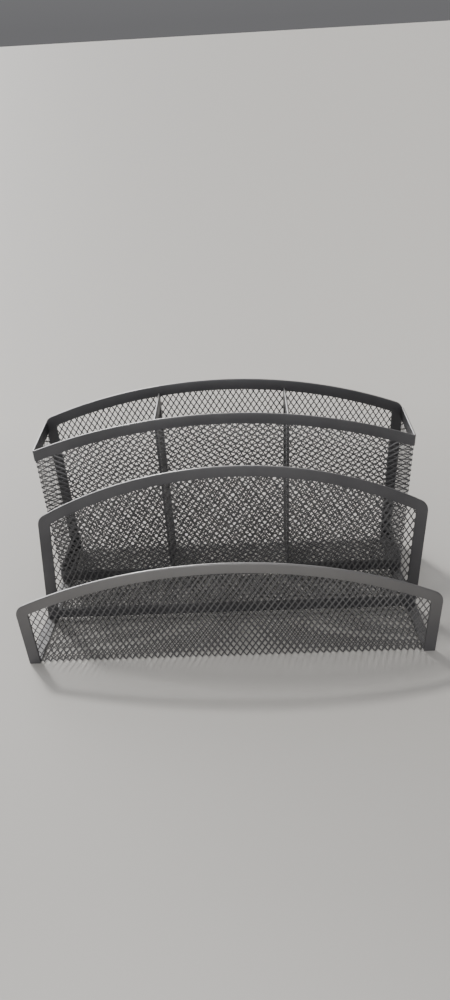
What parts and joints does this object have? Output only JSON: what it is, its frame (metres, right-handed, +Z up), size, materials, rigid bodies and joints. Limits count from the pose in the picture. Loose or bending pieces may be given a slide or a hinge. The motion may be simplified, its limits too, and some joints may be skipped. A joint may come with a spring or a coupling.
{
  "type": "desktop file sorter",
  "caption": "Mesh desk organiser with two upright file slots and a divided three-bin box, arched panels in folded steel rims.",
  "frame": {"origin": "centre of the bounding box's footprint, on the surface it stands on", "axes": "+X along the width to the user's right, +Y from the low front panel to the tall back panel, +Z up"},
  "size_m": [0.32, 0.147, 0.171],
  "materials": {
    "rim_steel": "satin graphite powder coat on folded steel strip",
    "mesh_steel": "satin graphite powder coat on expanded steel mesh"
  },
  "bodies": {
    "root": {"body_sheet": "mesh_steel", "front_rim": "rim_steel", "left_base_strip": "rim_steel", "right_base_strip": "rim_steel", "middle_sheet": "mesh_steel", "middle_frame": "rim_steel", "box_sheet": "mesh_steel", "box_rim": "rim_steel", "box_bottom_rail": "rim_steel", "back_rim": "rim_steel", "left_divider_sheet": "mesh_steel", "left_divider_frame": "rim_steel", "right_divider_sheet": "mesh_steel", "right_divider_frame": "rim_steel"}
  },
  "joints": []
}
